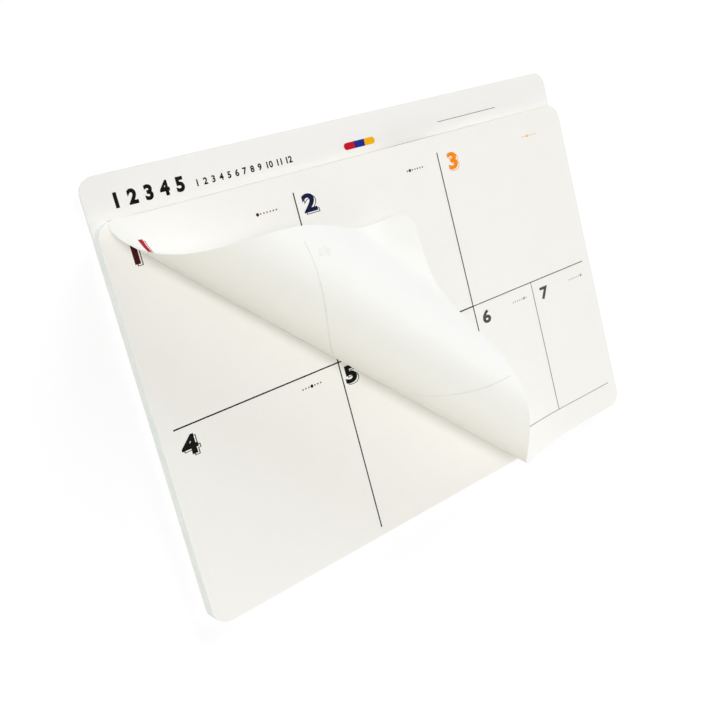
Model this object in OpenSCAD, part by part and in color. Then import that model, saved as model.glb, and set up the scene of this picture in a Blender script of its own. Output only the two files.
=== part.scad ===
// Weekly tear-off planner pad lying on its back: a block of sheets, glued along its
// head edge, on a rigid board whose upper band stays bare as the header.
// X runs across the page, Y towards the header and Z out of the page, in millimetres.
// The origin is the middle of the board's back face.

/* [Page] */
// Width of the sheets and of the board
page_w = 297; // [240:1:420]
// Height of one tear-off sheet, from foot to head
sheet_h = 189.5; // [150:0.5:230]
// Radius of every rounded corner, sheets and board
corner_r = 8; // [3:0.5:14]
// Thickness of one sheet
sheet_t = 0.1; // [0.06:0.01:0.2]
// Air between two neighbouring sheets
leaf_gap = 0.01; // [0.005:0.005:0.03]
// Number of weekly sheets
sheet_count = 52; // [8:1:56]

/* [Backing] */
// Height of the bare header band above the sheets
header_h = 20.5; // [12:0.5:60]
// Thickness of the rigid board
board_t = 1.5; // [0.8:0.1:3]
// Thickness of the white liner on the board's face
liner_t = 0.15; // [0.08:0.01:0.4]

/* [Binding] */
// Thickness of the glue film on the head edge of the block
glue_t = 0.3; // [0.15:0.05:0.8]
// Sheets that have come free of the glue film, counted from the top
freed_sheets = 2; // [2:1:4]
// Width of the tape that holds the block on the board
tape_w = 12; // [6:1:40]
// Thickness of that tape
tape_t = 0.1; // [0.05:0.01:0.3]
// Distance of the tape from the head edge
tape_inset = 6; // [2:1:20]
// Distance of the tape's ends from the side edges
tape_side = 10; // [4:1:40]

/* [Peeled top sheet] */
// Distance along the head, from the left, over which the sheet has come off
lift_from = 45; // [20:1:70]
// Angle between the head edge and the line where the sheet leaves the page
lift_angle = 39.5; // [37:0.5:43]
// Paper in the first part of the roll, whose bend lines fan out from the head
fan_len = 70; // [55:1:85]
// Distance from the head to the point where those fanned lines would meet
fan_r = 500; // [400:10:700]
// Distance to the point where the later bend lines would meet, past the foot
close_r = 385; // [365:5:600]
// Paper across the roll, from the lift line to the end of the turn
roll_len = 146; // [136:1:156]
// Angle that the paper turns through in the roll
roll_angle = 232.4; // [215:0.2:245]
// Paper across the reverse bend that flattens the loose corner
ease_len = 40; // [34:1:48]
// Angle of that reverse bend
ease_angle = 81.5; // [70:0.5:95]
// Width of the flat strips that make up the curve
strip_w = 2; // [1:0.5:4]

/* [Hidden] */

function sheet_name(i) = str("sheet_", i < 10 ? "0" : "", i);

arc_steps = 8;
edge_trim = 0.1;
board_h = sheet_h + header_h;
foot_y = -board_h / 2;
head_y = foot_y + sheet_h;
liner_z = board_t + liner_t;
block_z = liner_z + tape_t;
leaf_pitch = sheet_t + leaf_gap;
function sheet_z(i) = block_z + (sheet_count - i) * leaf_pitch;

board_c = [0.86, 0.87, 0.86];
liner_c = [0.94, 0.94, 0.93];
tape_c = [0.92, 0.90, 0.80];
glue_c = [0.96, 0.96, 0.94];
paper_c = [0.95, 0.945, 0.92];

// Rounded rectangle with its foot on the X axis and its middle on the Y axis
module page_outline(w, h, r) {
    translate([-w / 2 + r, 0]) square([w - 2 * r, h]);
    translate([-w / 2, r]) square([w, h - 2 * r]);
    for (x = [-w / 2 + r, w / 2 - r], y = [r, h - r]) translate([x, y]) circle(r, $fn = 64);
}

module backing_board() {
    color(board_c) translate([0, foot_y, 0])
        linear_extrude(board_t) page_outline(page_w, board_h, corner_r);
}

module face_liner() {
    color(liner_c) translate([0, foot_y, board_t])
        linear_extrude(liner_t) page_outline(page_w, board_h, corner_r);
}

module mounting_tape() {
    color(tape_c) translate([-page_w / 2 + tape_side, head_y - tape_inset - tape_w, liner_z])
        cube([page_w - 2 * tape_side, tape_w, tape_t]);
}

// Film along the straight part of the head edge, up to the first sheet that still holds
module binding_glue() {
    film_h = sheet_z(freed_sheets + 1) + sheet_t - liner_z;
    color(glue_c) translate([-page_w / 2 + corner_r, head_y, liner_z])
        cube([page_w - 2 * corner_r, glue_t, film_h]);
}

module sheet(i) {
    color(paper_c) translate([0, foot_y, sheet_z(i)])
        linear_extrude(sheet_t) page_outline(page_w, sheet_h, corner_r);
}

// The peeled sheet is bent without stretching. Across the roll, s millimetres from the
// lift line, the paper turns about one straight bend line at a time. The lines are set out
// on the flat sheet, from its lower left corner, and each one carries all the paper beyond it.
function degrees(x) = x * 180 / PI;
function below_head(a) = [cos(a), -sin(a)];

fan_end = lift_angle + degrees(fan_len / fan_r);
lift_point = [lift_from, sheet_h];
fan_apex = lift_point - fan_r * below_head(lift_angle);
close_apex = fan_apex + (fan_r + close_r) * below_head(fan_end);

function line_angle(s) = s < fan_len ? lift_angle + degrees(s / fan_r)
                                     : fan_end - degrees((s - fan_len) / close_r);
function line_base(s) = s < fan_len ? fan_apex + fan_r * below_head(line_angle(s))
                                    : close_apex - close_r * below_head(line_angle(s));
// Degrees of bend for each millimetre of paper, most of it early in the roll
function bend(s) =
    s < roll_len ? roll_angle * PI / roll_len * sin(180 * s / roll_len) * (1 - s / roll_len)
    : s < roll_len + ease_len
        ? -ease_angle * PI / (2 * ease_len) * sin(180 * (s - roll_len) / ease_len) : 0;

// Outline of the flat sheet, counter-clockwise from the lower right corner
rim = [for (c = [0:3]) for (k = [0:arc_steps])
    let (a = 90 * (c - 1) + 90 * k / arc_steps)
    [c < 2 ? page_w - corner_r : corner_r, c == 0 || c == 3 ? corner_r : sheet_h - corner_r]
        + corner_r * [cos(a), sin(a)]];

// Positive on the flat side of the bend line at s
function side(p, s) = cross(below_head(line_angle(s)), p - line_base(s));

// Where the bend line at s meets the outline: at the head or left edge, or at the foot
function crossing(s, at_foot) =
    let (g = [for (p = rim) side(p, s)], n = len(rim))
    [for (i = [0:n - 1]) let (j = (i + 1) % n)
        if (at_foot ? g[i] <= 0 && g[j] > 0 : g[i] > 0 && g[j] <= 0)
            rim[i] + (rim[j] - rim[i]) * g[i] / (g[i] - g[j])][0];

function across(p) = let (w = close_apex - p)
    fan_len + close_r * (fan_end - atan2(-w[1], w[0])) * PI / 180;

roll_total = max([for (p = rim) across(p)]) - edge_trim;
strips = ceil(roll_total / strip_w);
step = roll_total / strips;

// Turn by a about the bend line at s, so that the paper beyond it rises
function turn(s, a) =
    let (d = -below_head(line_angle(s)), q = line_base(s), c = cos(a), e = 1 - c, n = sin(a),
         r = [[c + d[0] * d[0] * e, d[0] * d[1] * e, d[1] * n],
              [d[0] * d[1] * e, c + d[1] * d[1] * e, -d[0] * n],
              [-d[1] * n, d[0] * n, c]],
         o = [q[0], q[1], 0] - r * [q[0], q[1], 0])
    [[r[0][0], r[0][1], r[0][2], o[0]], [r[1][0], r[1][1], r[1][2], o[1]],
     [r[2][0], r[2][1], r[2][2], o[2]], [0, 0, 0, 1]];

still = [[1, 0, 0, 0], [0, 1, 0, 0], [0, 0, 1, 0], [0, 0, 0, 1]];
function first3(v) = [v[0], v[1], v[2]];
function unit(v) = v / norm(v);

module peeled_sheet() {
    carry = [for (j = 0, m = still; j <= strips; m = m * turn(j * step, bend(j * step) * step),
                  j = j + 1) m];
    up = [for (j = [0:strips])
        unit(first3(carry[j] * [0, 0, 1, 0]) + first3(carry[min(j + 1, strips)] * [0, 0, 1, 0]))];
    ends = [for (j = [0:strips]) [for (f = [false, true]) let (p = crossing(j * step, f))
        first3(carry[j] * [p[0], p[1], 0, 1])]];
    flat = [for (p = rim) if (side(p, 0) > 0) [p[0], p[1], 0]];
    h = sheet_t / 2;
    m = len(flat);
    b = 4 * (strips + 1);
    points = concat(
        [for (j = [0:strips]) for (k = [h, -h]) for (p = ends[j]) p + k * up[j]],
        [for (p = flat) for (k = [h, -h]) p + [0, 0, k]]);
    // Upper face of the flat part, clockwise from the lift line's head end
    ring = concat([0], [for (k = [m - 1:-1:0]) b + 2 * k], [1]);
    function under(i) = i < b ? i + 2 : i + 1;
    function both(f) = concat([f], [[for (k = [len(f) - 1:-1:0]) under(f[k])]]);
    faces = concat(
        [for (k = [1:len(ring) - 2]) each both([ring[0], ring[k], ring[k + 1]])],
        [for (k = [0:len(ring) - 2]) each let (p = ring[k], q = ring[k + 1])
            [[q, p, under(p)], [q, under(p), under(q)]]],
        [for (j = [0:strips - 1]) each let (p = 4 * j, q = 4 * j + 4)
            concat(both([p, p + 1, q + 1]), both([p, q + 1, q]),
                   [[p, q, q + 2], [p, q + 2, p + 2], [q + 1, p + 1, p + 3], [q + 1, p + 3, q + 3]])],
        let (p = 4 * strips) [[p, p + 1, p + 3], [p, p + 3, p + 2]]);
    color(paper_c) translate([-page_w / 2, foot_y, sheet_z(1) + h]) polyhedron(points, faces);
}

backing_board();
face_liner();
mounting_tape();
binding_glue();
peeled_sheet();
for (i = [2:sheet_count]) sheet(i);
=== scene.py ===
import math
import bpy
import bmesh
from mathutils import Matrix, Vector


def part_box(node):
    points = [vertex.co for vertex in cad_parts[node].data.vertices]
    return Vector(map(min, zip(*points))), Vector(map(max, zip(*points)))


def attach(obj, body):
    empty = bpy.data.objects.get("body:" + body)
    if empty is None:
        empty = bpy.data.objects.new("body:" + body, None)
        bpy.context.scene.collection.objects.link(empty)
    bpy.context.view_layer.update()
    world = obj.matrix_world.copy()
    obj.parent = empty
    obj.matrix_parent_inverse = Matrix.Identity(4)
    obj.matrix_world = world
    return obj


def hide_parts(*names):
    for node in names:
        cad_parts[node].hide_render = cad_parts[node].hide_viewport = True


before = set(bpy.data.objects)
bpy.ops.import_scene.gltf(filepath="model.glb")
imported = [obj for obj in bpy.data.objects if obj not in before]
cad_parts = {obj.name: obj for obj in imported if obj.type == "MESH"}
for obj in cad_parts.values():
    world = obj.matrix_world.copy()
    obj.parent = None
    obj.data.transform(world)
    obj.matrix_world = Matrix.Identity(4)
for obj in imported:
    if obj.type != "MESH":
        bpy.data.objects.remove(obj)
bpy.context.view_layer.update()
scene = bpy.context.scene
scene.view_settings.view_transform = "Standard"
mm = 0.001
print("frame loaded:", len(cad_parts), "nodes")


def nodeBox(name):  # lowest and highest corner of a CAD node, in millimetres
    return [[round(value / mm, 3) for value in corner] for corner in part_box(name)]


sheetCount = len([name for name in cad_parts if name.startswith("sheet_")])
boardLow, boardHigh = nodeBox("backing_board")
sheetLow, sheetHigh = nodeBox("sheet_02")

# flat page in millimetres, from the lower left corner of a sheet
page = {"width": sheetHigh[0] - sheetLow[0], "height": sheetHigh[1] - sheetLow[1], "corner": 8.0,
        "thick": round(sheetHigh[2] - sheetLow[2], 3),
        "pitch": round(sheetHigh[2] - nodeBox("sheet_03")[1][2], 3),
        "blockFoot": nodeBox("sheet_%02d" % sheetCount)[0][2]}
pageToFrame = Matrix.Diagonal((mm, mm, mm, 1)) @ Matrix.Translation((sheetLow[0], sheetLow[1], 0))

# camera over the left side of the pad, as in the photograph
shot = {"place": (-0.2963, 0.0862, 0.3927), "turn": (0.205, -35.631, -17.828),
        "lens": 46.96, "sensor": 36, "shift": (0.0076, -0.0477)}

cameraData = bpy.data.cameras.new("deskCamera")
cameraData.lens = shot["lens"]
cameraData.sensor_width = shot["sensor"]
cameraData.shift_x, cameraData.shift_y = shot["shift"]
deskCamera = bpy.data.objects.new("deskCamera", cameraData)
deskCamera.location = shot["place"]
deskCamera.rotation_euler = [math.radians(angle) for angle in shot["turn"]]
scene.collection.objects.link(deskCamera)
scene.camera = deskCamera

# the floor's inset and drop are in millimetres
studio = {"sky": 0.28, "skyTint": (1.0, 0.985, 0.90, 1), "white": (1, 1, 1, 1),
          "floorBounce": (0.82, 0.82, 0.82, 1), "floorSeen": (0.55, 0.55, 0.57, 1), "floorLift": 0.47,
          "floorInset": 0.2, "floorDrop": 0.05, "floorSpread": (40, 50, 1), "cornerSteps": 12}
# soft distant lamps by compass angle and height in degrees, then one soft box near the foot of the page
lamps = [
    {"name": "windowKey", "angle": 160, "height": 62, "power": 1.77, "soft": 22, "tint": (1.0, 0.993, 0.985)},
    {"name": "rightWash", "angle": 45, "height": 20, "power": 1.31, "soft": 40, "tint": (0.97, 1.0, 1.055)},
    {"name": "footWash", "angle": 315, "height": 20, "power": 0.34, "soft": 40, "tint": (0.99, 0.985, 0.97)},
    {"name": "leftWash", "angle": 180, "height": 20, "power": 0.15, "soft": 40, "tint": (1.0, 0.98, 0.88)},
    {"name": "underFill", "angle": 300, "height": -65, "power": 1.9, "soft": 60, "tint": (1.0, 1.0, 1.0)},
    {"name": "footBox", "place": (-0.05, -0.30, 0.18), "size": 0.22, "power": 0.10,
     "tint": (1.0, 0.995, 0.97)}]


def addLamp(lamp):
    near = "place" in lamp
    data = bpy.data.lights.new(lamp["name"], "AREA" if near else "SUN")
    data.energy = lamp["power"]
    data.color = lamp["tint"]
    light = bpy.data.objects.new(lamp["name"], data)
    if near:
        data.size = lamp["size"]
        light.location = lamp["place"]
        light.rotation_euler = Vector(lamp["place"]).to_track_quat("Z", "Y").to_euler()
    else:
        data.angle = math.radians(lamp["soft"])
        light.rotation_euler = (math.radians(90 - lamp["height"]), 0, math.radians(lamp["angle"] + 90))
    scene.collection.objects.link(light)


for lamp in lamps:
    addLamp(lamp)


def put(tree, kind, inputs=None, **settings):
    node = tree.nodes.new("ShaderNode" + kind)
    for key, value in settings.items():
        setattr(node, key, value)
    for key, value in (inputs or {}).items():
        if isinstance(value, bpy.types.NodeSocket):
            tree.links.new(value, node.inputs[key])
        else:
            node.inputs[key].default_value = value
    return node


def calc(tree, operation, *values):
    return put(tree, "Math", dict(enumerate(values)), operation=operation).outputs[0]


def swing(tree, value, base, share):  # a base and a share of a value that changes over the surface
    return calc(tree, "ADD", base, calc(tree, "MULTIPLY", value, share))


def fade(tree, value, start, end, first=1.0, last=0.0, **settings):
    return put(tree, "MapRange", {0: value, 1: start, 2: end, 3: first, 4: last}, **settings).outputs[0]


def mixTone(tree, share, first, second, **settings):
    return put(tree, "Mix", {0: share, 6: first, 7: second}, data_type="RGBA", **settings).outputs[2]


def shadeTone(tree, tone, value):
    return put(tree, "HueSaturation", {"Color": tone, "Value": value}).outputs[0]


def seenDirectly(tree):  # rays that show the backdrop: straight, mirrored or through glass
    path = put(tree, "LightPath")
    mirrored = calc(tree, "MAXIMUM", path.outputs["Is Camera Ray"], path.outputs["Is Glossy Ray"])
    return calc(tree, "MAXIMUM", mirrored, path.outputs["Is Transmission Ray"])


def lightWorld():
    world = bpy.data.worlds.new("studioWorld")
    scene.world = world
    world.use_nodes = True
    tree = world.node_tree
    tree.nodes.clear()
    soft = put(tree, "Background", {"Color": studio["skyTint"], "Strength": studio["sky"]})
    white = put(tree, "Background", {"Color": studio["white"], "Strength": 1.0})
    mix = put(tree, "MixShader", {0: seenDirectly(tree), 1: soft.outputs[0], 2: white.outputs[0]})
    put(tree, "OutputWorld", {"Surface": mix.outputs[0]})


def roundedFace(size, middle, corner, steps):
    bm = bmesh.new()
    place = Matrix.Translation((middle[0], middle[1], 0)) @ Matrix.Diagonal((size[0], size[1], 1, 1))
    bmesh.ops.create_grid(bm, x_segments=1, y_segments=1, size=0.5, matrix=place)
    bmesh.ops.bevel(bm, geom=bm.verts[:], offset=corner, affect="VERTICES", segments=steps,
                    profile=0.5, material=-1)
    return bm


def makeFloorWhite():
    material = bpy.data.materials.new("floorWhite")
    material.use_nodes = True
    tree = material.node_tree
    tree.nodes.clear()
    seen = seenDirectly(tree)
    tone = mixTone(tree, seen, studio["floorBounce"], studio["floorSeen"])
    matte = put(tree, "BsdfDiffuse", {"Color": tone})
    glow = calc(tree, "MULTIPLY", seen, studio["floorLift"])
    lift = put(tree, "Emission", {"Color": studio["white"], "Strength": glow})
    both = put(tree, "AddShader", {0: matte.outputs[0], 1: lift.outputs[0]})
    below = put(tree, "NewGeometry").outputs["Backfacing"]
    clear = put(tree, "BsdfTransparent")
    shown = put(tree, "MixShader", {0: below, 1: both.outputs[0], 2: clear.outputs[0]})
    put(tree, "OutputMaterial", {"Surface": shown.outputs[0]})
    return material


def layFloor():  # open under the board and see-through from below, so that the back can be looked at
    inset = studio["floorInset"]
    size = [(boardHigh[i] - boardLow[i] - 2 * inset) * mm for i in (0, 1)]
    bm = roundedFace(size, (0, 0), (page["corner"] - inset) * mm, studio["cornerSteps"])
    underBoard = bm.faces[:]
    spread = bmesh.ops.extrude_edge_only(bm, edges=bm.edges[:])["geom"]
    outer = [part for part in spread if isinstance(part, bmesh.types.BMVert)]
    bmesh.ops.scale(bm, vec=studio["floorSpread"], verts=outer)
    bmesh.ops.delete(bm, geom=underBoard, context="FACES_ONLY")
    for face in bm.faces:
        face.normal_update()
        if face.normal.z < 0:
            face.normal_flip()
    bmesh.ops.translate(bm, verts=bm.verts, vec=(0, 0, -studio["floorDrop"] * mm))
    mesh = bpy.data.meshes.new("studioFloor")
    bm.to_mesh(mesh)
    bm.free()
    mesh.materials.append(makeFloorWhite())
    floor = bpy.data.objects.new("studioFloor", mesh)
    scene.collection.objects.link(floor)


lightWorld()
layFloor()
print("camera, lights and floor ready")


def newGroup(name, takes, gives):
    tree = bpy.data.node_groups.new(name, "ShaderNodeTree")
    for label, kind in takes:
        tree.interface.new_socket(label, in_out="INPUT", socket_type="NodeSocket" + kind)
    for label, kind in gives:
        tree.interface.new_socket(label, in_out="OUTPUT", socket_type="NodeSocket" + kind)
    inside = tree.nodes.new("NodeGroupInput")
    outside = tree.nodes.new("NodeGroupOutput")
    return tree, inside.outputs, outside.inputs


def fillGroup(tree, group, inputs):
    return put(tree, "Group", inputs, node_tree=group).outputs


# fibres lie in three directions, each with its stretch
grainLook = {"cloudScale": 60, "fibreScale": 1500, "fibreLay": ((1, 0.16, 1), (0.16, 1, 1), (0.7, 0.3, 1)),
             "layTurn": 0.6, "fibreMiddle": 0.58, "toothScale": 5200, "fibreRough": 0.2,
             "fibreHeight": 0.7, "toothHeight": 0.3}


def makePaperGrain():
    tree, given, out = newGroup(
        "paperGrain",
        [("Vector", "Vector"), ("Tone", "Color"), ("Cloud", "Float"), ("Fibre", "Float"), ("Matte", "Float")],
        [("Color", "Color"), ("Roughness", "Float"), ("Height", "Float")])
    where = given["Vector"]
    cloud = put(tree, "TexNoise", {"Vector": where, "Scale": grainLook["cloudScale"], "Detail": 4,
                                   "Roughness": 0.6}).outputs[0]
    strands = []
    for stretch in grainLook["fibreLay"]:
        laid = put(tree, "Mapping", {"Vector": where, "Scale": stretch,
                                     "Rotation": (0, 0, stretch[0] * grainLook["layTurn"])}).outputs[0]
        strands.append(put(tree, "TexNoise", {"Vector": laid, "Scale": grainLook["fibreScale"], "Detail": 3,
                                              "Roughness": 0.65, "Distortion": 0.4}).outputs[0])
    fibre = calc(tree, "MAXIMUM", calc(tree, "MAXIMUM", strands[0], strands[1]), strands[2])
    tooth = put(tree, "TexNoise", {"Vector": where, "Scale": grainLook["toothScale"], "Detail": 2}).outputs[0]
    drift = calc(tree, "MULTIPLY", calc(tree, "SUBTRACT", cloud, 0.5), given["Cloud"])
    weave = calc(tree, "MULTIPLY", calc(tree, "SUBTRACT", fibre, grainLook["fibreMiddle"]), given["Fibre"])
    value = calc(tree, "ADD", calc(tree, "ADD", drift, weave), 1.0)
    tree.links.new(shadeTone(tree, given["Tone"], value), out["Color"])
    rough = swing(tree, calc(tree, "SUBTRACT", fibre, 0.5), given["Matte"], grainLook["fibreRough"])
    tree.links.new(rough, out["Roughness"])
    tufts = calc(tree, "MULTIPLY", fibre, grainLook["fibreHeight"])
    tree.links.new(swing(tree, tooth, tufts, grainLook["toothHeight"]), out["Height"])
    return tree


def makeRimReach():  # how far inside the rounded outline a point lies, in millimetres
    tree, given, out = newGroup(
        "rimReach",
        [("Vector", "Vector"), ("Half Width", "Float"), ("Half Height", "Float"), ("Middle", "Float"),
         ("Corner", "Float")],
        [("Reach", "Float")])
    split = put(tree, "SeparateXYZ", {0: given["Vector"]})
    spotX, spotY = (calc(tree, "MULTIPLY", split.outputs[i], 1 / mm) for i in (0, 1))
    awayX = calc(tree, "ABSOLUTE", spotX)
    awayY = calc(tree, "ABSOLUTE", calc(tree, "SUBTRACT", spotY, given["Middle"]))
    overX = calc(tree, "ADD", calc(tree, "SUBTRACT", awayX, given["Half Width"]), given["Corner"])
    overY = calc(tree, "ADD", calc(tree, "SUBTRACT", awayY, given["Half Height"]), given["Corner"])
    outX = calc(tree, "MAXIMUM", overX, 0.0)
    outY = calc(tree, "MAXIMUM", overY, 0.0)
    squares = calc(tree, "ADD", calc(tree, "MULTIPLY", outX, outX), calc(tree, "MULTIPLY", outY, outY))
    inner = calc(tree, "MINIMUM", calc(tree, "MAXIMUM", overX, overY), 0.0)
    past = calc(tree, "ADD", calc(tree, "SQRT", squares), inner)
    tree.links.new(calc(tree, "SUBTRACT", given["Corner"], past), out["Reach"])
    return tree


# streaks along single sheets, then along bundles of them, by squeeze and share
leafLook = {"leafShare": 0.5, "streaks": ((60, 1.0), (14, 1.8)), "streakScale": 90}


def makeLeafEdge():  # cut edges of the block, a little different on every sheet
    tree, given, out = newGroup(
        "leafEdge",
        [("Vector", "Vector"), ("Tone", "Color"), ("Spread", "Float")],
        [("Color", "Color")])
    height = put(tree, "SeparateXYZ", {0: given["Vector"]}).outputs[2]
    inBlock = calc(tree, "SUBTRACT", height, page["blockFoot"] * mm)
    leaf = calc(tree, "FLOOR", calc(tree, "DIVIDE", inBlock, page["pitch"] * mm))
    chance = put(tree, "TexWhiteNoise", {"W": leaf}, noise_dimensions="1D").outputs["Value"]
    uneven = calc(tree, "MULTIPLY", calc(tree, "SUBTRACT", chance, 0.5), leafLook["leafShare"])
    for squeeze, share in leafLook["streaks"]:
        drawn = put(tree, "Mapping", {"Vector": given["Vector"], "Scale": (1, 1, squeeze)}).outputs[0]
        streak = put(tree, "TexNoise", {"Vector": drawn, "Scale": leafLook["streakScale"],
                                        "Detail": 3}).outputs[0]
        uneven = swing(tree, calc(tree, "SUBTRACT", streak, 0.5), uneven, share)
    value = swing(tree, uneven, 1.0, given["Spread"])
    tree.links.new(shadeTone(tree, given["Tone"], value), out["Color"])
    return tree


inkLook = {"coverScale": 1800, "poolScale": 260, "lackFrom": 0.52, "lackFull": 0.78, "least": 0.88,
           "pool": 0.24, "bareTone": (0.84, 0.83, 0.80, 1), "smooth": 0.5, "rough": 0.25,
           "gloss": 0.06, "breaks": 0.02}


def makeInkSpread():  # offset ink: dense, with tiny breaks where the paper tooth shows
    tree, given, out = newGroup(
        "inkSpread",
        [("Vector", "Vector"), ("Tone", "Color"), ("Breaks", "Float")],
        [("Color", "Color"), ("Roughness", "Float")])
    where = given["Vector"]
    cover = put(tree, "TexNoise", {"Vector": where, "Scale": inkLook["coverScale"], "Detail": 3,
                                   "Roughness": 0.7}).outputs[0]
    pool = put(tree, "TexNoise", {"Vector": where, "Scale": inkLook["poolScale"], "Detail": 2}).outputs[0]
    lack = fade(tree, cover, inkLook["lackFrom"], inkLook["lackFull"], 0.0, 1.0)
    bare = calc(tree, "MULTIPLY", lack, given["Breaks"])
    dense = shadeTone(tree, given["Tone"], swing(tree, pool, inkLook["least"], inkLook["pool"]))
    tree.links.new(mixTone(tree, bare, dense, inkLook["bareTone"]), out["Color"])
    tree.links.new(swing(tree, cover, inkLook["smooth"], inkLook["rough"]), out["Roughness"])
    return tree


paperGrain = makePaperGrain()
rimReach = makeRimReach()
leafEdge = makeLeafEdge()
inkSpread = makeInkSpread()


def newMaterial(name, gloss):
    material = bpy.data.materials.new(name)
    material.use_nodes = True
    tree = material.node_tree
    shader = tree.nodes["Principled BSDF"]
    shader.inputs["Specular IOR Level"].default_value = gloss
    return material, tree, shader


def finishPaint(tree, shader, colour, roughness):
    tree.links.new(colour, shader.inputs["Base Color"])
    tree.links.new(roughness, shader.inputs["Roughness"])


def addBump(tree, shader, height, look):
    bump = put(tree, "Bump", {"Height": height, "Strength": look["bump"], "Distance": look["bumpDepth"]})
    tree.links.new(bump.outputs[0], shader.inputs["Normal"])


cutEdge = {"inner": 0.12, "outer": 0.02}  # millimetres from the rim, where a face turns into its cut edge


def rimOf(tree, where, low, high):  # millimetres inside the outline of the board or of a sheet
    return fillGroup(tree, rimReach, {
        "Vector": where, "Half Width": (high[0] - low[0]) / 2, "Half Height": (high[1] - low[1]) / 2,
        "Middle": (low[1] + high[1]) / 2, "Corner": page["corner"]})["Reach"]


# the painted warm shade along the bend is found on the flat page in metres, by a direction across it and its
# place that way
papers = {"tone": (0.896, 0.888, 0.864, 1), "edgeTone": (0.90, 0.945, 0.92, 1), "edgeSpread": 0.12,
          # backTone: the paper's tone made a little whiter and cooler, painted highlight for the brightly lit
          # underside of the roll
          "backTone": (0.905, 0.906, 0.890, 1), "gloss": 0.22, "cloud": 0.030, "fibre": 0.060, "matte": 0.85,
          "bump": 0.25, "bumpDepth": 0.00002, "foldShadeTint": (1.0, 0.985, 0.918, 1),
          "bentWay": (-0.688, -0.725, 0.0), "bentAt": -0.1293, "bentNear": 0.014, "bentFar": 0.051}


def makeSheetPaper(name, tone, onUv, foldShade=False):
    material, tree, shader = newMaterial(name, papers["gloss"])
    if onUv:
        where = put(tree, "UVMap", uv_map="flatPage").outputs[0]
    else:
        where = put(tree, "TexCoord").outputs["Object"]
    grain = fillGroup(tree, paperGrain, {"Vector": where, "Tone": tone, "Cloud": papers["cloud"],
                                         "Fibre": papers["fibre"], "Matte": papers["matte"]})
    colour = grain["Color"]
    if not onUv:
        rim = fade(tree, rimOf(tree, where, sheetLow, sheetHigh), cutEdge["outer"], cutEdge["inner"])
        edge = fillGroup(tree, leafEdge, {"Vector": where, "Tone": papers["edgeTone"],
                                          "Spread": papers["edgeSpread"]})["Color"]
        colour = mixTone(tree, rim, colour, edge)
    if foldShade:  # painted shade: a little creamier along the bend, where the fold lies in warm shade
        across = put(tree, "VectorMath", {0: where, 1: papers["bentWay"]}, operation="DOT_PRODUCT").outputs[1]
        away = calc(tree, "ABSOLUTE", calc(tree, "SUBTRACT", across, papers["bentAt"]))
        foldShadeShare = fade(tree, away, papers["bentNear"], papers["bentFar"])
        colour = mixTone(tree, foldShadeShare, colour, papers["foldShadeTint"], blend_type="MULTIPLY")
    finishPaint(tree, shader, colour, grain["Roughness"])
    addBump(tree, shader, grain["Height"], papers)
    return material


sheetPaper = makeSheetPaper("sheetPaper", papers["tone"], False)
peeledFace = makeSheetPaper("peeledFace", papers["tone"], True)
# the underside takes painted warm shade along the fold
peeledBack = makeSheetPaper("peeledBack", papers["backTone"], True, foldShade=True)
peeledEdge = makeSheetPaper("peeledEdge", papers["edgeTone"], True)

# the rim's wear reaches inwards in millimetres, the painted shade beside the block runs along it in metres
liner = {"tone": (0.872, 0.864, 0.852, 1), "gloss": 0.35, "cloud": 0.02, "fibre": 0.025, "matte": 0.62,
         "bump": 0.10, "bumpDepth": 0.00001, "rubScale": 240, "wornTone": (0.74, 0.74, 0.71, 1),
         "wornReach": 1.1, "wornFrom": 0.45, "wornFull": 0.75, "wear": 0.45,
         "seamShadeTone": (0.55, 0.55, 0.52, 1), "seamShadeReach": 0.0024, "seamShade": 0.14, "seamShadeLeast": 0.6,
         "seamShadeRub": 0.8}


def makeLiner():
    material, tree, shader = newMaterial("linerCoated", liner["gloss"])
    where = put(tree, "TexCoord").outputs["Object"]
    grain = fillGroup(tree, paperGrain, {"Vector": where, "Tone": liner["tone"], "Cloud": liner["cloud"],
                                         "Fibre": liner["fibre"], "Matte": liner["matte"]})
    rub = put(tree, "TexNoise", {"Vector": where, "Scale": liner["rubScale"], "Detail": 4}).outputs[0]
    near = fade(tree, rimOf(tree, where, boardLow, boardHigh), 0.0, liner["wornReach"])
    rubbed = fade(tree, rub, liner["wornFrom"], liner["wornFull"], 0.0, liner["wear"])
    face = mixTone(tree, calc(tree, "MULTIPLY", near, rubbed), grain["Color"], liner["wornTone"])
    # painted shade: a grey band on the header beside the block's head, uneven with the rub noise
    upPage = put(tree, "SeparateXYZ", {0: where}).outputs[1]
    seamShadeFrom = nodeBox("binding_glue")[1][1] * mm
    seamShade = fade(tree, upPage, seamShadeFrom, seamShadeFrom + liner["seamShadeReach"], liner["seamShade"], 0.0)
    seamShadeShare = calc(tree, "MULTIPLY", seamShade, swing(tree, rub, liner["seamShadeLeast"], liner["seamShadeRub"]))
    finishPaint(tree, shader, mixTone(tree, seamShadeShare, face, liner["seamShadeTone"]), grain["Roughness"])
    addBump(tree, shader, grain["Height"], liner)
    return material


board = {"backTone": (0.70, 0.69, 0.66, 1), "plyTone": (0.93, 0.945, 0.935, 1), "gloss": 0.2, "cloud": 0.20,
         "fibre": 0.22, "matte": 0.9, "bump": 0.35, "bumpDepth": 0.00004, "plySqueeze": (1, 1, 30),
         "plyScale": 70, "plyLeast": 0.9, "plySwing": 0.2, "fleckTone": (0.47, 0.44, 0.39, 1),
         "fleckScale": 640, "fleckFrom": 0.62, "fleckFull": 0.72, "fleck": 0.55}


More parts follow.
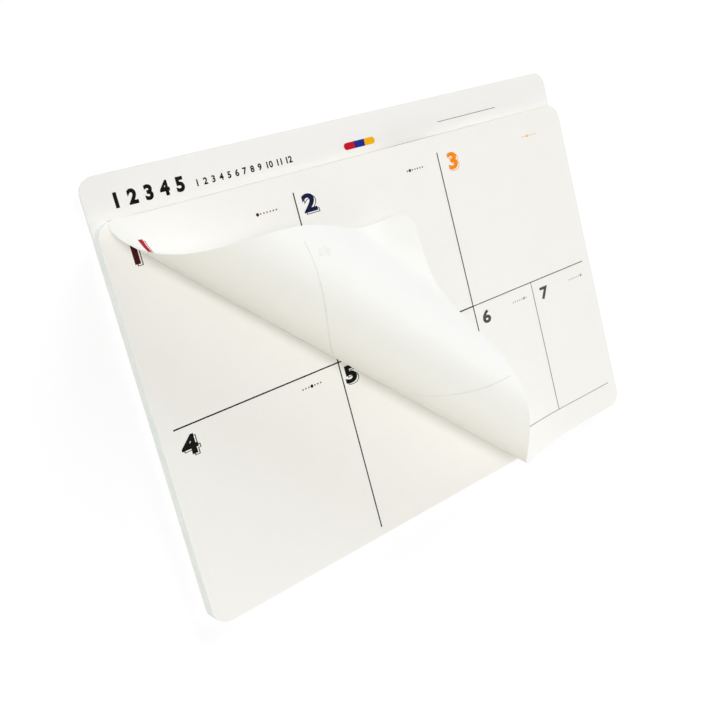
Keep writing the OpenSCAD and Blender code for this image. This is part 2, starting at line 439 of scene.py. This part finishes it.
def makeBoard():
    material, tree, shader = newMaterial("boardPulp", board["gloss"])
    where = put(tree, "TexCoord").outputs["Object"]
    back = fillGroup(tree, paperGrain, {"Vector": where, "Tone": board["backTone"], "Cloud": board["cloud"],
                                        "Fibre": board["fibre"], "Matte": board["matte"]})
    drawn = put(tree, "Mapping", {"Vector": where, "Scale": board["plySqueeze"]}).outputs[0]
    plies = put(tree, "TexNoise", {"Vector": drawn, "Scale": board["plyScale"], "Detail": 4}).outputs[0]
    ply = shadeTone(tree, board["plyTone"], swing(tree, plies, board["plyLeast"], board["plySwing"]))
    speck = put(tree, "TexNoise", {"Vector": where, "Scale": board["fleckScale"], "Detail": 3,
                                   "Roughness": 0.55}).outputs[0]
    fleck = fade(tree, speck, board["fleckFrom"], board["fleckFull"], 0.0, board["fleck"])
    pulp = mixTone(tree, fleck, back["Color"], board["fleckTone"])
    rim = fade(tree, rimOf(tree, where, boardLow, boardHigh), cutEdge["outer"], cutEdge["inner"])
    finishPaint(tree, shader, mixTone(tree, rim, pulp, ply), back["Roughness"])
    addBump(tree, shader, back["Height"], board)
    return material


# the film is darker along one stretch of the head, in metres
# the film's tone is the glue's own colour made darker, partly painted shade for the thin shadow line along
# the seam
glue = {"tone": (0.68, 0.665, 0.61, 1), "gloss": 0.5, "spread": 0.30, "bump": 0.4, "bumpDepth": 0.00005,
        "brushDraw": (0.25, 1, 1), "brushScale": 900, "brushLeast": 0.90, "brushSwing": 0.20,
        "smooth": 0.25, "rough": 0.3,
        "darkStretchTone": (0.31, 0.275, 0.22, 1), "darkStretchAt": 0.030, "darkStretchReach": 0.034, "pool": 0.9}


def makeGlue():
    material, tree, shader = newMaterial("paddingGlue", glue["gloss"])
    where = put(tree, "TexCoord").outputs["Object"]
    drawn = put(tree, "Mapping", {"Vector": where, "Scale": glue["brushDraw"]}).outputs[0]
    brush = put(tree, "TexNoise", {"Vector": drawn, "Scale": glue["brushScale"], "Detail": 3}).outputs[0]
    under = fillGroup(tree, leafEdge, {"Vector": where, "Tone": glue["tone"], "Spread": glue["spread"]})
    tone = shadeTone(tree, under["Color"], swing(tree, brush, glue["brushLeast"], glue["brushSwing"]))
    along = put(tree, "SeparateXYZ", {0: where}).outputs[0]
    away = calc(tree, "ABSOLUTE", calc(tree, "SUBTRACT", along, glue["darkStretchAt"]))
    # share of the darker brown tone along one stretch of the head, strongest at its middle
    thick = fade(tree, away, 0.0, glue["darkStretchReach"], glue["pool"], 0.0, interpolation_type="SMOOTHSTEP")
    film = mixTone(tree, thick, tone, glue["darkStretchTone"])
    finishPaint(tree, shader, film, swing(tree, brush, glue["smooth"], glue["rough"]))
    addBump(tree, shader, brush, glue)
    return material


tape = {"tone": (0.82, 0.78, 0.62, 1), "gloss": 0.45, "ribScale": 700, "ribLeast": 0.94, "ribSwing": 0.12,
        "smooth": 0.3, "rough": 0.2, "bump": 0.3, "bumpDepth": 0.00003}


def makeTape():
    material, tree, shader = newMaterial("mountTape", tape["gloss"])
    where = put(tree, "TexCoord").outputs["Object"]
    rib = put(tree, "TexWave", {"Vector": where, "Scale": tape["ribScale"], "Distortion": 1.5,
                                "Detail": 2}).outputs[1]
    tone = shadeTone(tree, tape["tone"], swing(tree, rib, tape["ribLeast"], tape["ribSwing"]))
    finishPaint(tree, shader, tone, swing(tree, rib, tape["smooth"], tape["rough"]))
    addBump(tree, shader, rib, tape)
    return material


def dress(nodeName, material):
    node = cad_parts[nodeName]
    if not node.material_slots:
        node.data.materials.append(material)
    for slot in node.material_slots:
        slot.material = material


dress("backing_board", makeBoard())
dress("face_liner", makeLiner())
dress("binding_glue", makeGlue())
dress("mounting_tape", makeTape())
for count in range(2, sheetCount + 1):
    dress("sheet_%02d" % count, sheetPaper)
print("paper, board, glue and tape dressed")

# the peeled top sheet is bent along straight lines without stretching, in millimetres and degrees,
# and the last two values are tolerances
peel = {"liftFrom": 45.0, "liftAngle": 39.5, "fanLength": 70.0, "fanRadius": 500.0, "closeRadius": 385.0,
        "rollLength": 146.0, "rollAngle": 232.4, "easeLength": 40.0, "easeAngle": 81.5, "strip": 2.0,
        "trim": 0.1, "cornerSteps": 16, "onLine": 0.00001, "onStrip": 0.0001}


def downFrom(angle):  # direction of a bend line on the flat sheet, head to foot
    return Vector((math.cos(math.radians(angle)), -math.sin(math.radians(angle)), 0))


fanEnd = peel["liftAngle"] + math.degrees(peel["fanLength"] / peel["fanRadius"])
fanApex = Vector((peel["liftFrom"], page["height"], 0)) - peel["fanRadius"] * downFrom(peel["liftAngle"])
closeApex = fanApex + (peel["fanRadius"] + peel["closeRadius"]) * downFrom(fanEnd)


def bendLine(across):
    if across < peel["fanLength"]:
        along = downFrom(peel["liftAngle"] + math.degrees(across / peel["fanRadius"]))
        return fanApex + peel["fanRadius"] * along, along
    along = downFrom(fanEnd - math.degrees((across - peel["fanLength"]) / peel["closeRadius"]))
    return closeApex - peel["closeRadius"] * along, along


def bendRate(across):  # degrees for each millimetre of paper
    part = across / peel["rollLength"]
    if part < 1:
        return peel["rollAngle"] * math.pi / peel["rollLength"] * math.sin(math.pi * part) * (1 - part)
    part = (across - peel["rollLength"]) / peel["easeLength"]
    if part < 1:
        return -peel["easeAngle"] * math.pi / (2 * peel["easeLength"]) * math.sin(math.pi * part)
    return 0.0


def acrossRoll(point):  # millimetres of paper from the lift line to a point of the flat sheet
    away = point - fanApex
    across = peel["fanRadius"] * (math.atan2(-away.y, away.x) - math.radians(peel["liftAngle"]))
    if across < peel["fanLength"]:
        return across
    away = closeApex - point
    return peel["fanLength"] + peel["closeRadius"] * (math.radians(fanEnd) - math.atan2(-away.y, away.x))


def flatSheet():
    size = (page["width"], page["height"])
    bm = roundedFace(size, (size[0] / 2, size[1] / 2), page["corner"], peel["cornerSteps"])
    bmesh.ops.solidify(bm, geom=bm.faces[:], thickness=page["thick"])
    low = min(v.co.z for v in bm.verts)
    bmesh.ops.translate(bm, verts=bm.verts, vec=(0, 0, -low - page["thick"] / 2))
    bmesh.ops.recalc_face_normals(bm, faces=bm.faces)
    return bm


def rollPlan():
    outline = flatSheet()
    total = max(acrossRoll(Vector((v.co.x, v.co.y, 0))) for v in outline.verts) - peel["trim"]
    outline.free()
    strips = math.ceil(total / peel["strip"])
    step = total / strips
    carry = [Matrix.Identity(4)]
    for count in range(strips):
        point, along = bendLine(count * step)
        turn = Matrix.Rotation(math.radians(bendRate(count * step) * step), 4, -along)
        carry.append(carry[-1] @ Matrix.Translation(point) @ turn @ Matrix.Translation(-point))
    return step, carry


rollStep, rollCarry = rollPlan()


def cutForRoll(bm):
    for count in range(len(rollCarry) - 1):
        point, along = bendLine(count * rollStep)
        bmesh.ops.bisect_plane(bm, geom=bm.verts[:] + bm.edges[:] + bm.faces[:], dist=peel["onLine"],
                               plane_co=point, plane_no=(-along.y, along.x, 0))


def rollUp(bm):
    for vert in bm.verts:
        across = acrossRoll(Vector((vert.co.x, vert.co.y, 0)))
        if across > peel["onLine"]:
            strip = int(across / rollStep + peel["onStrip"]) + 1
            vert.co = rollCarry[min(strip, len(rollCarry) - 1)] @ vert.co


def closePiece(bm, name, body, materials, smooth=False):
    bmesh.ops.transform(bm, matrix=pageToFrame, verts=bm.verts)
    mesh = bpy.data.meshes.new(name)
    for face in bm.faces:
        face.smooth = smooth
    bm.to_mesh(mesh)
    bm.free()
    for material in materials:
        mesh.materials.append(material)
    piece = bpy.data.objects.new(name, mesh)
    scene.collection.objects.link(piece)
    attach(piece, body)
    return piece


def sheetTop(count):  # height of a sheet's printed face, in millimetres
    return page["blockFoot"] + (sheetCount - count) * page["pitch"] + page["thick"]


def makePeeledSheet():
    bm = flatSheet()
    cutForRoll(bm)
    flatMap = bm.loops.layers.uv.new("flatPage")
    for face in bm.faces:
        face.normal_update()
        face.material_index = 0 if face.normal.z > 0.5 else 1 if face.normal.z < -0.5 else 2
        for loop in face.loops:
            loop[flatMap].uv = (loop.vert.co.x * mm, loop.vert.co.y * mm)
    for edge in bm.edges:
        edge.smooth = len({face.material_index for face in edge.link_faces}) == 1
    rollUp(bm)
    bmesh.ops.translate(bm, verts=bm.verts, vec=(0, 0, sheetTop(1) - page["thick"] / 2))
    piece = closePiece(bm, "peeledSheet", "top_leaf", [peeledFace, peeledBack, peeledEdge], True)
    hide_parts("sheet_01")
    return piece


peeledSheet = makePeeledSheet()
print("top sheet peeled:", len(peeledSheet.data.polygons), "faces")

inks = {"black": (0.004, 0.004, 0.003, 1), "maroon": (0.060, 0.004, 0.005, 1),
        "navy": (0.006, 0.009, 0.045, 1), "orange": (0.90, 0.25, 0.002, 1),
        "grey": (0.075, 0.077, 0.066, 1), "umber": (0.13, 0.105, 0.075, 1),
        "paleOrange": (0.90, 0.50, 0.18, 1), "paleGrey": (0.34, 0.325, 0.285, 1),
        # paintedLitMaroon is the maroon ink made lighter and redder: painted highlight for the first figure
        # on the brightly lit peeled sheet
        "red": (0.56, 0.006, 0.016, 1), "paintedLitMaroon": (0.40, 0.018, 0.030, 1),
        "blue": (0.016, 0.022, 0.24, 1), "yellow": (0.90, 0.45, 0.002, 1),
        "paper": papers["tone"], "ghost": (0.818, 0.81, 0.765, 1), "ghostMark": (0.868, 0.868, 0.845, 1)}
inkOrder = list(inks)
unbrokenInks = ("paper", "ghost", "ghostMark")


def makeInk(name):
    material, tree, shader = newMaterial("ink" + name.capitalize(), inkLook["gloss"])
    where = put(tree, "TexCoord").outputs["Object"]
    breaks = 0.0 if name in unbrokenInks else inkLook["breaks"]
    spread = fillGroup(tree, inkSpread, {"Vector": where, "Tone": inks[name], "Breaks": breaks})
    finishPaint(tree, shader, spread["Color"], spread["Roughness"])
    return material


inkMaterials = [makeInk(name) for name in inkOrder]

# page print in millimetres; a column is its place and its foot, and weights are shares of the type size
layout = {"rule": 0.70, "boxRule": 0.50, "left": 7.2, "right": 290.5, "divider": 93.85,
          "columns": ((100.4, 4.4), (196.0, 15.0)), "columnTop": 180.4, "split": 243.6, "boxFoot": 15.0,
          "figureHeight": 8.4, "figureWide": 1.32, "weight": 0.040,
          "shadedDays": 5, "shade": (1.0, -0.9), "shadeLine": 0.030}
days = [
    {"figure": "1", "at": (14.0, 173.2), "ink": "maroon", "dots": (83.5, 174.9), "dotInk": "maroon"},
    {"figure": "2", "at": (108.1, 173.8), "ink": "navy", "dots": (178.4, 175.2), "dotInk": "black"},
    {"figure": "3", "at": (205.8, 174.1), "ink": "orange", "dots": (268.7, 175.9), "dotInk": "paleOrange"},
    {"figure": "4", "at": (12.6, 85.0), "ink": "black", "dots": (82.2, 87.9), "dotInk": "black"},
    {"figure": "5", "at": (105.9, 86.0), "ink": "black", "dots": (177.4, 87.7), "dotInk": "black"},
    {"figure": "6", "at": (204.1, 85.5), "tall": 6.6, "ink": "grey", "dots": (232.0, 86.7),
     "dotInk": "paleGrey"},
    {"figure": "7", "at": (252.9, 85.0), "tall": 6.6, "ink": "grey", "dots": (281.3, 86.1),
     "dotInk": "paleGrey"}]
dotRow = {"pitch": 1.8, "small": 0.42, "large": 0.85, "sides": 14}
figures = {"capHeight": 0.70, "curveSteps": 4}  # height of a figure in type of size 1
layers = {"rule": 0.004, "back": 0.003, "gap": 0.006, "front": 0.009}  # millimetres over the sheet
ghostDepth = {"peeled": 1.0, "flat": 0.45}  # share of those heights for marks on the underside


def inkFaces(verts, ink):
    for face in {face for vert in verts for face in vert.link_faces}:
        face.material_index = inkOrder.index(ink)


def drawRule(bm, start, end, width, ink, height):
    run = Vector((end[0] - start[0], end[1] - start[1], 0))
    middle = Vector(((start[0] + end[0]) / 2, (start[1] + end[1]) / 2, height))
    turn = Matrix.Rotation(math.atan2(run.y, run.x), 4, "Z")
    place = Matrix.Translation(middle) @ turn @ Matrix.Diagonal((run.length, width, 1, 1))
    inkFaces(bmesh.ops.create_grid(bm, x_segments=1, y_segments=1, size=0.5, matrix=place)["verts"], ink)


def drawDot(bm, middle, radius, ink, height):
    place = Matrix.Translation((middle[0], middle[1], height))
    dot = bmesh.ops.create_circle(bm, cap_ends=True, segments=dotRow["sides"], radius=radius, matrix=place)
    inkFaces(dot["verts"], ink)


def figureShape(text, weight):
    curve = bpy.data.curves.new("figure", "FONT")
    curve.body = text
    curve.size = 1.0
    curve.offset = weight
    curve.resolution_u = figures["curveSteps"]
    holder = bpy.data.objects.new("figure", curve)
    scene.collection.objects.link(holder)
    bpy.context.view_layer.update()
    shape = bpy.data.meshes.new_from_object(holder.evaluated_get(bpy.context.evaluated_depsgraph_get()))
    bpy.data.objects.remove(holder)
    bpy.data.curves.remove(curve)
    return shape


def drawFigure(bm, text, middle, tall, weight, ink, height, wide=1.0):
    shape = figureShape(text, weight)
    spots = [vert.co for vert in shape.vertices]
    centre = Vector([(min(s[i] for s in spots) + max(s[i] for s in spots)) / 2 for i in range(3)])
    scale = tall / figures["capHeight"]
    size = Matrix.Diagonal((wide * scale, scale, 1, 1))
    shape.transform(Matrix.Translation((middle[0], middle[1], height)) @ size @ Matrix.Translation(-centre))
    for face in shape.polygons:
        face.material_index = inkOrder.index(ink)
    bm.from_mesh(shape)
    bpy.data.meshes.remove(shape)


def drawRules(bm, ghost):
    left, right, cross = layout["left"], layout["right"], layout["divider"]
    split, boxLeft, boxFoot = layout["split"], layout["columns"][1][0], layout["boxFoot"]
    rules = [((left, cross), (boxLeft, cross), "rule", "black"),
             ((boxLeft, cross), (right, cross), "boxRule", "black")]
    for column, foot in layout["columns"]:
        rules.append(((column, layout["columnTop"]), (column, foot), "rule", "black"))
    rules.append(((split, cross), (split, boxFoot), "boxRule", "umber"))
    rules.append(((boxLeft, boxFoot), (right, boxFoot), "boxRule", "paleGrey"))
    for start, end, width, ink in rules:
        drawRule(bm, start, end, layout[width], "ghost" if ghost else ink, layers["rule"])


def drawDay(bm, count, ink, ghost):
    day = days[count]
    figure, (u, v) = day["figure"], day["at"]
    weight, wide = layout["weight"], layout["figureWide"]
    tall = day.get("tall", layout["figureHeight"])
    if count < layout["shadedDays"] and not ghost:  # open outline of a shade, down to the right
        shaded = (u + layout["shade"][0], v + layout["shade"][1])
        drawFigure(bm, figure, shaded, tall, weight, ink, layers["back"], wide)
        drawFigure(bm, figure, shaded, tall, weight - layout["shadeLine"], "paper", layers["gap"], wide)
    drawFigure(bm, figure, (u, v), tall, weight, "ghostMark" if ghost else ink, layers["front"], wide)
    for place in range(len(days)):  # one dot for each day, this day's larger
        spot = (day["dots"][0] + (place - (len(days) - 1) / 2) * dotRow["pitch"], day["dots"][1])
        radius = dotRow["large"] if place == count else dotRow["small"]
        drawDot(bm, spot, radius, "ghostMark" if ghost else day["dotInk"], layers["rule"])


def drawPage(ghost=False, firstInk="maroon"):
    bm = bmesh.new()
    drawRules(bm, ghost)
    for count, day in enumerate(days):
        drawDay(bm, count, firstInk if count == 0 else day["ink"], ghost)
    return bm


def turnOver(bm, depth):  # the same marks seen faintly through the paper, on its underside
    bmesh.ops.scale(bm, vec=(1, 1, -depth), verts=bm.verts)
    bmesh.ops.reverse_faces(bm, faces=bm.faces[:])


def printSheet(count, body, ghost=False):
    bm = drawPage(ghost)
    height = sheetTop(count)
    if ghost:
        turnOver(bm, ghostDepth["flat"])
        height -= page["thick"]
    bmesh.ops.translate(bm, verts=bm.verts, vec=(0, 0, height))
    name = "showThrough%02d" if ghost else "sheetPrint%02d"
    closePiece(bm, name % count, body, inkMaterials)


def printPeeled(ghost=False):
    # the peeled sheet's first figure takes the maroon ink with painted highlight
    bm = drawPage(ghost, "paintedLitMaroon")
    height = page["thick"] / 2
    if ghost:
        turnOver(bm, ghostDepth["peeled"])
        height = -height
    bmesh.ops.translate(bm, verts=bm.verts, vec=(0, 0, height))
    cutForRoll(bm)
    rollUp(bm)
    bmesh.ops.translate(bm, verts=bm.verts, vec=(0, 0, sheetTop(1) - page["thick"] / 2))
    closePiece(bm, "showThrough01" if ghost else "sheetPrint01", "top_leaf", inkMaterials)


printPeeled()
printPeeled(True)
printSheet(2, "second_leaf")
printSheet(2, "second_leaf", True)
printSheet(3, "pad")
print("pages printed")

# header print in millimetres from the lower left corner of a sheet
header = {"weeks": 5, "weekAt": (15.0, 197.5), "weekPitch": 7.9, "weekHeight": 6.2, "weekWeight": 0.05,
          "months": 12, "monthAt": (55.3, 196.2), "monthPitch": 4.3, "monthHeight": 3.0, "monthWeight": 0.034,
          "lastSingle": 9, "monthWider": 1.45,
          "stripAt": (151.2, 195.4), "strip": (20.4, 3.6), "stripInks": ("red", "blue", "yellow"),
          "stripRound": 0.49, "stripSteps": 8,
          "ruleFrom": (206.9, 196.2), "ruleTo": (252.4, 196.2), "rule": 0.3, "layer": 0.02}


def drawStrip(bm, middle, size, shades, height):  # rounded strip, one colour after the other
    place = Matrix.Translation((middle[0], middle[1], height)) @ Matrix.Diagonal((size[0], size[1], 1, 1))
    verts = bmesh.ops.create_grid(bm, x_segments=len(shades), y_segments=1, size=0.5, matrix=place)["verts"]
    for face in {face for vert in verts for face in vert.link_faces}:
        part = (face.calc_center_median().x - middle[0]) / size[0] + 0.5
        face.material_index = inkOrder.index(shades[int(part * len(shades))])
    ends = [vert for vert in verts if len(vert.link_faces) == 1]
    bmesh.ops.bevel(bm, geom=ends, offset=size[1] * header["stripRound"], affect="VERTICES",
                    segments=header["stripSteps"], profile=0.5, material=-1)


def printHeader():
    bm = bmesh.new()
    layer = header["layer"]
    for count in range(header["weeks"]):
        spot = (header["weekAt"][0] + count * header["weekPitch"], header["weekAt"][1])
        drawFigure(bm, str(count + 1), spot, header["weekHeight"], header["weekWeight"], "black", layer)
    for count in range(header["months"]):
        wider = max(count + 1 - header["lastSingle"], 0) * header["monthWider"]  # more room for two figures
        spot = (header["monthAt"][0] + count * header["monthPitch"] + wider, header["monthAt"][1])
        drawFigure(bm, str(count + 1), spot, header["monthHeight"], header["monthWeight"], "black", layer)
    drawStrip(bm, header["stripAt"], header["strip"], header["stripInks"], layer)
    drawRule(bm, header["ruleFrom"], header["ruleTo"], header["rule"], "grey", layer)
    bmesh.ops.translate(bm, verts=bm.verts, vec=(0, 0, nodeBox("face_liner")[1][2]))
    closePiece(bm, "headerPrint", "pad", inkMaterials)


printHeader()
print("header printed")
